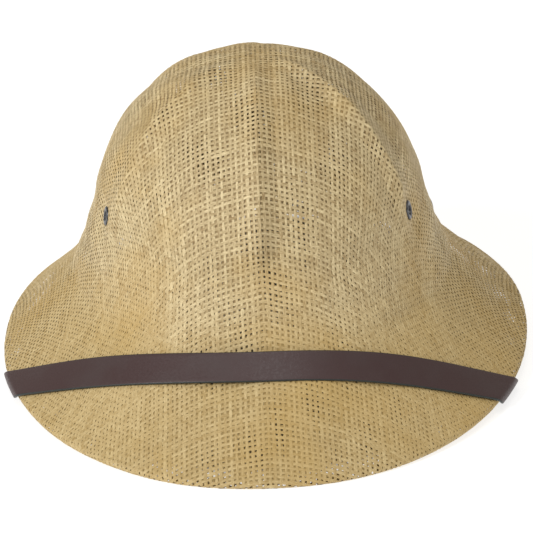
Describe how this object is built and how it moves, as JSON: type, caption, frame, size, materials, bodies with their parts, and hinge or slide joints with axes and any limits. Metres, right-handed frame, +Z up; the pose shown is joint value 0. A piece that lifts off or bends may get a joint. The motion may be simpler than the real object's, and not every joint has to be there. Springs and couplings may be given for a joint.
{
  "type": "pith helmet",
  "caption": "Woven straw pith helmet with a ribbed domed crown, a sloping brim and a leather chin strap laid over the front.",
  "frame": {"origin": "centre of the brim's outline, on the surface that the hat rests on", "axes": "+Z up to the crown's top, -Y to the wearer's front, +X to the right of a viewer who faces the hat's front"},
  "size_m": [0.2799, 0.335, 0.1583],
  "materials": {
    "straw": "matte woven straw",
    "leather": "satin",
    "gunmetal": "dark satin"
  },
  "bodies": {
    "root": {"straw_shell": "straw", "chin_strap": "leather", "eyelet_left": "gunmetal", "eyelet_right": "gunmetal", "strap_rivet_left": "gunmetal", "strap_rivet_right": "gunmetal"}
  },
  "joints": []
}
